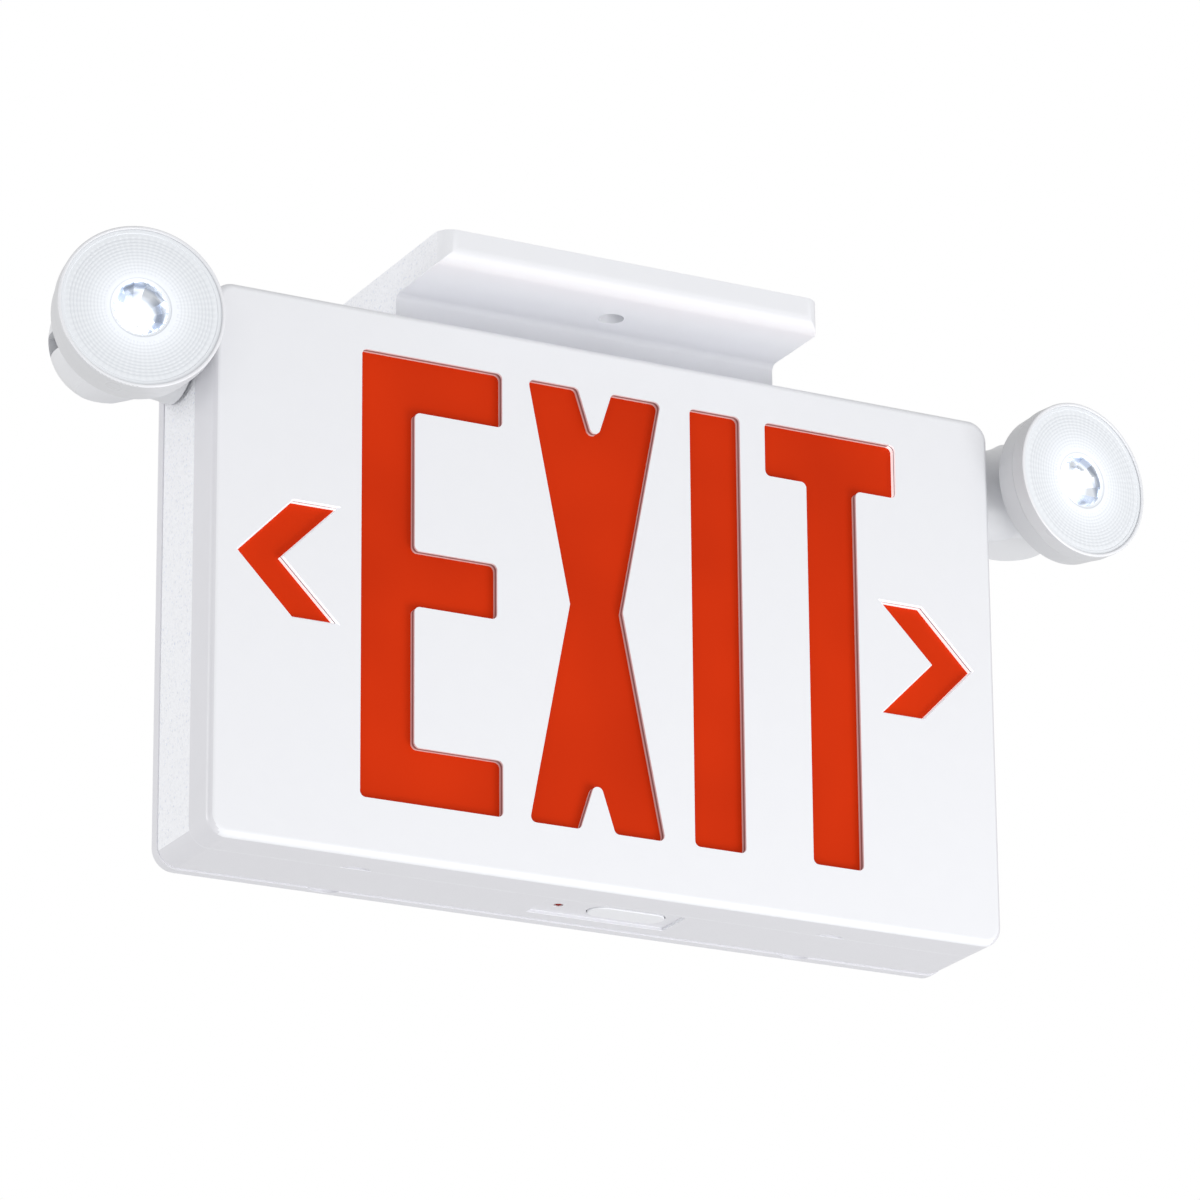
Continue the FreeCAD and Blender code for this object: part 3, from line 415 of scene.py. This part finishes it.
# ---------------------------------------------------------------- the canopy
# A T shaped ABS cover that hides the ceiling box. Its front and underside are smooth like the
# face, and its two end walls carry the housing's pebbled grain.
canopy = clean_copy("canopy", satin_abs, pebbled_abs, soften=0.25)
end_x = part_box("canopy")[1].x - 0.3 * mm
for polygon in canopy.data.polygons:
    at_end = abs(polygon.center.x) > end_x and abs(polygon.normal.x) > squarely
    polygon.material_index = GRAINED if at_end else PLAIN
# Moulded nylon, a dull black.
black_nylon = mottled("black_nylon", "1B1B1C", 0.48, size_mm=1.0, depth_mm=0.02, detail=2.0,
                      darker=0.2, rough_swing=0.05, ior=1.53)
clean_copy("canopy_screws", zinc, soften=0.12)
clean_copy("wire_bush", black_nylon, soften=0.15)

# ---------------------------------------------------------------- test button and status light
# A round-ended white button in a shallow recess of the housing's underside, with a small red
# indicator beside it. The button presses a small push switch on the charger board.

# Gloss ABS: a harder shine than the satin round it.
button_abs = mottled("gloss_abs_button", "F0F1F5", 0.30, size_mm=4.0, depth_mm=0.008, detail=1.0,
                     darker=0.02, rough_swing=0.03, ior=1.54)
# Tinted epoxy, nearly out: a dark glassy red.
status_resin = mottled("tinted_red_indicator_resin", "7A0E0B", 0.12, size_mm=1.5, depth_mm=0.004,
                       detail=1.0, darker=0.15, **own_light("FF2A12", 0.04))
clean_copy("test_button", button_abs, soften=0.12)
clean_copy("status_led", status_resin)
for node in ("switch_plunger", "test_switch", "status_holder"):
    clean_copy(node, black_nylon, soften=0.1)

# ---------------------------------------------------------------- charger board and battery
# The mains charger and the battery that runs the lamps in a power cut, all behind the tray. Four
# screws hold the glass laminate board, and a moulded bracket holds the three cells.

# Polyester tape round the transformer, shrink sleeve on cans and cells, and a nylon block: all
# are dyed through, so each is one strong colour with a soft shine.
tape = mottled("yellow_polyester_tape", "C9A326", 0.35, size_mm=2.5, depth_mm=0.03, detail=2.0,
               darker=0.15)
can_sleeve = mottled("dark_shrink_sleeve", "1C2233", 0.30, size_mm=2.0, depth_mm=0.01, detail=2.0,
                     darker=0.2)
terminal_green = mottled("green_polyamide", "23703A", 0.45, size_mm=1.5, depth_mm=0.02, detail=2.0,
                         darker=0.15, ior=1.53)
cell_sleeve = mottled("blue_shrink_sleeve", "2F6FA8", 0.28, size_mm=6.0, depth_mm=0.02, detail=2.0,
                      darker=0.12)
clean_copy("charger_board", board_green)
clean_copy("board_screws", zinc, soften=0.15)
clean_copy("transformer", tape, soften=0.2)
clean_copy("capacitors", can_sleeve)
clean_copy("terminal_block", terminal_green, soften=0.15)
clean_copy("battery_cells", cell_sleeve, soften=0.2)
clean_copy("battery_bracket", tray_abs, soften=0.2)

# ---------------------------------------------------------------- lamp arms
# A short waisted arm that ends in a ball with a flat underside. The arm tilts in a nylon bush
# in the housing, and the head swivels on a screw pin in the ball's slot.

# Satin ABS, a little greyer than the face, with a slow flow ripple.
lamp_abs = mottled("satin_abs_lamp", "E6E7EA", 0.34, size_mm=14.0, depth_mm=0.008, detail=1.0,
                   darker=0.01, rough_swing=0.02, ior=1.54)
# Natural nylon: a dull, slightly warm white.
white_nylon = mottled("natural_nylon", "E6E6E0", 0.45, size_mm=2.0, depth_mm=0.01, detail=2.0,
                      darker=0.04, ior=1.53)
sides = ("left", "right")
for side in sides:
    clean_copy(side + "_arm", lamp_abs, soften=0.35, segments=3)
    clean_copy(side + "_pivot_pin", zinc, soften=0.1)
    clean_copy(side + "_arm_bush", white_nylon, soften=0.15)
    clean_copy(side + "_arm_nut", zinc, soften=0.15)

# ---------------------------------------------------------------- lamp heads
# A shallow ABS puck: a rear cup with the tongue, and a bezel that snaps on over the lens. The
# outside comes off polished tool walls, and its white is painted greyer than the face as painted
# shade.
shaded_head_abs = mottled("polished_abs_head_painted_shade", "D7D8DB", 0.28, size_mm=14.0, depth_mm=0.006, detail=1.0,
                   darker=0.01, rough_swing=0.02, ior=1.54)
WALL_SHADED, RIM_WHITE = range(2)
for side in sides:
    clean_copy(side + "_head_shell", shaded_head_abs, soften=0.2)
    bezel = clean_copy(side + "_head_bezel", shaded_head_abs, satin_abs, soften=0.2)
    # Painted shade: the bezel's walls take the greyer white, and only its front-facing rim keeps the face's white.
    for polygon in bezel.data.polygons:
        polygon.material_index = RIM_WHITE if polygon.normal.y < -0.5 else WALL_SHADED

# The board, the emitter and the heat sink sit in the cup behind the reflector. White solder mask
# is an even gloss white, cast aluminium a dull grainy grey, and lit phosphor a plain bright white.
board_white = mottled("white_solder_mask", "F0F0EE", 0.35, size_mm=2.0, depth_mm=0.01, detail=2.0,
                      darker=0.03)
aluminium = mottled("die_cast_aluminium", "C8CACC", 0.45, size_mm=1.4, depth_mm=0.03, detail=2.0,
                    darker=0.1, rough_swing=0.08, Metallic=1.0)
emitter_crease = 40.0
lit_phosphor = finish_named("lit_white_emitter", "FFFFFF", 0.3, **own_light("FBFCFF", 4.0))[0]
for side in sides:
    clean_copy(side + "_lamp_board", board_white)
    clean_copy(side + "_lamp_emitter", lit_phosphor, crease=emitter_crease)
    clean_copy(side + "_heat_sink", aluminium)

# ---------------------------------------------------------------- lenses
# A clear polycarbonate disc with fine rings cut by fine spokes, which spread the light. Its middle
# is an open well over the reflector, and light from the emitter fills the plastic near the well.
reach = 38.8 * mm  # from the pivot to the bezel's front
well_r = 9.6 * mm
lens_r = 26.55 * mm
lens_back = 2.0 * mm
well_depth = 5.5 * mm
well_rim_mm = [(-0.55, 1.4), (-0.55, 1.1), (0.0, 0.8), (0.35, 0.45), (0.7, 0.40), (1.2, 0.45)]
ring_first = 12.0 * mm
ring_last = 24.8 * mm
ring_pitch = 1.12 * mm
ring_floor = 0.35 * mm
ring_height = 0.22 * mm
spokes = 72
verts_per_spoke = 4
land_depth = 0.1 * mm
glow_white = "F4F9FF"
lens_crease = 40.0


def part_lit(name, dark, pale, roughness, ior=1.5, **extra):
    """A material whose colour and own light follow two values on the piece's vertices: painted shade and
    reflection in its colour, and a painted glow.
    """
    material, tree, shader = finish_named(name, pale, roughness, ior, **extra)
    painted_shade_and_reflection = add(tree, "Attribute", attribute_name="painted_shade_and_reflection")
    blend = add(tree, "Mix", {"Factor": painted_shade_and_reflection.outputs["Fac"], MIX_A: linear(dark), MIX_B: linear(pale)},
                data_type="RGBA")
    tree.links.new(blend.outputs[MIX_RESULT], shader.inputs["Base Color"])
    painted_glow = add(tree, "Attribute", attribute_name="painted_glow")
    tree.links.new(painted_glow.outputs["Fac"], shader.inputs["Emission Strength"])
    shader.inputs["Emission Color"].default_value = linear(glow_white)
    return material


# Moulded polycarbonate: glassy and pale, with painted shade that makes it greyer where its grooves turn the light
# away.
lens_pc = part_lit("prismatic_polycarbonate_lens", "B9BEC6", "F6F9FD", 0.22, 1.585,
                   **{"Transmission Weight": 0.05})


def head_place(side):
    """Matrix of a head: origin on the lens axis at the pivot, +Y to the back."""
    swivel = [j for j in frame["joints"] if j["name"] == side + "_head_swivel"][0]
    pivot = Vector(swivel["pos_m"])
    low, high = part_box(side + "_lens")
    middle = (low + high) / 2
    toe = math.atan2(middle.x - pivot.x, pivot.y - middle.y)
    return Matrix.Translation((pivot.x, pivot.y, middle.z)) @ Matrix.Rotation(toe, 4, "Z")


def turned_skin(name, rows, count, place, material, crease):
    """A closed skin turned about a head's axis. rows lists (radius, depth) pairs, with depth from
    the bezel's front as a number or as a function of the angle."""
    verts = []
    for radius, depth in rows:
        for step in range(count):
            angle = 2 * math.pi * step / count
            y = (depth(angle) if callable(depth) else depth) - reach
            verts.append(tuple(place @ Vector((radius * math.cos(angle), y, radius * math.sin(angle)))))
    faces = []
    for row in range(len(rows)):
        following = (row + 1) % len(rows)
        for step in range(count):
            beside = (step + 1) % count
            faces.append((row * count + step, row * count + beside,
                          following * count + beside, following * count + step))
    mesh = bpy.data.meshes.new(name)
    mesh.from_pydata(verts, [], faces)
    work = bmesh.new()
    work.from_mesh(mesh)
    bmesh.ops.recalc_face_normals(work, faces=work.faces)
    work.to_mesh(mesh)
    work.free()
    mesh.shade_smooth()
    mesh.set_sharp_from_angle(angle=math.radians(crease))
    mesh.materials.append(material)
    piece = bpy.data.objects.new(name, mesh)
    bpy.context.scene.collection.objects.link(piece)
    return piece


def mark(piece, place, name, value_at):
    """A value for each vertex, worked out from its radius and angle about the head's axis."""
    values = piece.data.attributes.new(name, "FLOAT", "POINT")
    inverse = place.inverted()
    for vertex in piece.data.vertices:
        local = inverse @ vertex.co
        values.data[vertex.index].value = value_at(math.hypot(local.x, local.z),
                                                   math.atan2(local.z, local.x))


def pillow(depth, height):
    """Depth of the lens front that falls by the height once for each spoke."""
    return lambda angle: depth + height * 0.5 * (1 + math.cos(spokes * angle))


def lens_painted_shade(radius, angle):
    """Painted shade: grooves between the rings and between the spokes are greyer, and so are both rims."""
    if radius > lens_r - 0.2 * mm or well_r + 0.2 * mm < radius < well_r + 0.5 * mm:
        return 0.25
    if radius < ring_first or radius > ring_last:
        return 0.92
    half_groove = 0.1 * ring_pitch
    in_groove = (radius - ring_first + half_groove) % ring_pitch < 2 * half_groove
    between = 0.5 * (1 + math.cos(spokes * angle))
    return 0.97 - (0.23 if in_groove else 0.0) - 0.14 * between


def lens_glow(radius, angle):
    """Light in the plastic: strong beside the well, and it fades outwards."""
    return 0.05 + 0.14 * math.exp(-((radius - well_r) / (6.5 * mm)) ** 2)


def lens_rows():
    """Outline of the lens: the well's rim, the rings, the outer land, and the back."""
    rows = [(well_r + out * mm, depth * mm) for out, depth in well_rim_mm]
    rows.append((ring_first - 0.4 * mm, 0.2 * mm))
    ring_count = int((ring_last - ring_first) / ring_pitch)
    for ring in range(ring_count):
        start = ring_first + ring * ring_pitch
        lift = ring_height * (0.35 + 0.65 * ring / (ring_count - 1))
        rows.append((start, ring_floor))
        rows.append((start + 0.35 * ring_pitch, pillow(ring_floor - lift, lift * 0.55)))
        rows.append((start + 0.70 * ring_pitch, pillow(ring_floor - lift, lift * 0.55)))
    rows += [(ring_last + 0.2 * mm, ring_floor), (ring_last + 0.4 * mm, land_depth)]
    rows += [(lens_r - 0.4 * mm, land_depth), (lens_r, land_depth), (lens_r, lens_back)]
    rows += [(well_r + 1.2 * mm, lens_back), (well_r + 1.0 * mm, well_depth)]
    rows += [(well_r, well_depth), (well_r, 1.6 * mm)]
    return rows


for side in sides:
    place = head_place(side)
    lens = turned_skin(side + "_ringed_lens", lens_rows(), spokes * verts_per_spoke, place, lens_pc,
                       lens_crease)
    mark(lens, place, "painted_shade_and_reflection", lens_painted_shade)
    mark(lens, place, "painted_glow", lens_glow)
    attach(lens, side + "_head")
    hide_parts(side + "_lens")

# ---------------------------------------------------------------- reflectors
# A moulded cup with a bright metal coat, set in the well round the emitter. Its facets carry
# painted reflections of the room in patches, and next to the emitter they are flooded with its light.
cup_front = 1.2 * mm
cup_back = 7.0 * mm
cup_r = well_r - 0.2 * mm
throat_r = 4.4 * mm
facets = 14
cup_steps = 6
patch_width = 2.0 * mm
facet_crease = 12.0
random.seed(7)

# Aluminium laid on in a vacuum: a bright mirror of a slightly blue grey, darker in patches of painted reflection.
mirror_coat = part_lit("vacuum_metallised_reflector", "8794AC", "EEF3FA", 0.10, Metallic=1.0)


def cup_rows():
    """Outline of the cup: its curved inside from the front to the throat, and its back."""
    rows = []
    for step in range(cup_steps + 1):
        share = step / cup_steps
        rows.append((cup_r - (cup_r - throat_r) * share ** 1.4,
                     cup_front + (cup_back - cup_front) * share))
    return rows + [(throat_r + 2.0 * mm, cup_back), (well_r - 0.6 * mm, cup_front + 2.2 * mm)]


def cup_glow(radius, angle):
    """The emitter's light on the facets, strongest at the throat."""
    return 0.18 + 1.3 * math.exp(-((radius - throat_r) / (1.1 * mm)) ** 2)


for side in sides:
    place = head_place(side)
    cup = turned_skin(side + "_faceted_reflector", cup_rows(), facets, place, mirror_coat,
                      facet_crease)
    # Painted reflection: each facet gets a random light or dark patch in its colour.
    painted_reflection_patches = [random.choice((0.1, 0.6, 0.8, 0.9, 1.0, 1.0)) for _ in range(facets * 3)]
    mark(cup, place, "painted_shade_and_reflection", lambda radius, angle: painted_reflection_patches[
        int(angle / (2 * math.pi) * facets) + facets + int(radius / patch_width) % 3])
    mark(cup, place, "painted_glow", cup_glow)
    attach(cup, side + "_head")
    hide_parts(side + "_reflector")

# ---------------------------------------------------------------- room, light and camera
# A pale floor far below, a white surround, and broad soft lamps. The camera stands to the left
# of the sign and below it, and looks up along a long lens.
floor_drop = 2.4
floor_mesh = bpy.data.meshes.new("studio_floor")
half = 6.0
floor_mesh.from_pydata([(-half, -half, -floor_drop), (half, -half, -floor_drop),
                        (half, half, -floor_drop), (-half, half, -floor_drop)], [], [(0, 1, 2, 3)])
floor = bpy.data.objects.new("studio_floor", floor_mesh)
bpy.context.scene.collection.objects.link(floor)
floor_paint, tree, shader = finish_named("pale_floor_paint", "F0F0F0", 0.8)
floor.data.materials.append(floor_paint)

world = bpy.data.worlds.new("white_surround")
bpy.context.scene.world = world
world.use_nodes = True
tree = world.node_tree
tree.nodes.clear()
path = add(tree, "LightPath")
seen = add(tree, "Math", {0: path.outputs["Is Camera Ray"], 1: path.outputs["Is Transmission Ray"]},
           operation="MAXIMUM")
ambient = 0.58
shine_lift = 0.12  # what a mirrored surround adds to it
level = add(tree, "MapRange", {"Value": seen.outputs["Value"], "To Min": ambient, "To Max": 1.0})
glossy = add(tree, "MapRange", {"Value": path.outputs["Is Glossy Ray"], "To Min": 0.0,
                                "To Max": shine_lift})
total = add(tree, "Math", {0: level.outputs["Result"], 1: glossy.outputs["Result"]}, operation="ADD")
capped = add(tree, "Math", {0: total.outputs["Value"], 1: 1.0}, operation="MINIMUM")
sky = add(tree, "Background", {"Color": (1, 1, 1, 1), "Strength": capped.outputs["Value"]})
out = add(tree, "OutputWorld")
tree.links.new(sky.outputs["Background"], out.inputs["Surface"])

middle = (cad_box[0] + cad_box[1]) / 2


def soft_lamp(name, offset, size, power):
    """A square area lamp that faces the middle of the object."""
    data = bpy.data.lights.new(name, "AREA")
    data.shape = "SQUARE"
    data.size = size
    data.energy = power
    lamp = bpy.data.objects.new(name, data)
    bpy.context.scene.collection.objects.link(lamp)
    lamp.location = middle + Vector(offset)
    lamp.rotation_euler = (middle - lamp.location).to_track_quat("-Z", "Y").to_euler()
    return lamp


soft_lamp("near_right_low", (0.55, -0.95, -0.75), 0.7, 6.3)
soft_lamp("left", (-1.75, 0.75, 0.05), 0.9, 11)
soft_lamp("front_left", (-1.2, -1.6, 0.3), 1.2, 2.5)
soft_lamp("front_low", (-0.3, -1.6, -1.2), 1.2, 6.4)
soft_lamp("below", (0.2, -0.3, -1.8), 1.4, 4.4)

azimuth = math.radians(-27.85)
elevation = math.radians(-19.45)
roll = math.radians(-0.476)
distance = 2.0444
aim = Vector((-0.0058, face_low.y, -0.1138))
forward = Vector((math.sin(-azimuth) * math.cos(elevation), math.cos(azimuth) * math.cos(elevation),
                  math.sin(-elevation)))
camera_data = bpy.data.cameras.new("camera")
camera_data.sensor_width = 36.0
camera_data.lens = 187.9
camera_data.clip_end = 50.0
camera = bpy.data.objects.new("camera", camera_data)
bpy.context.scene.collection.objects.link(camera)
turn = forward.to_track_quat("-Z", "Y").to_matrix().to_4x4()
camera.matrix_world = Matrix.Translation(aim - forward * distance) @ turn @ Matrix.Rotation(roll, 4, "Z")
bpy.context.scene.camera = camera
bpy.context.scene.view_settings.view_transform = "Standard"
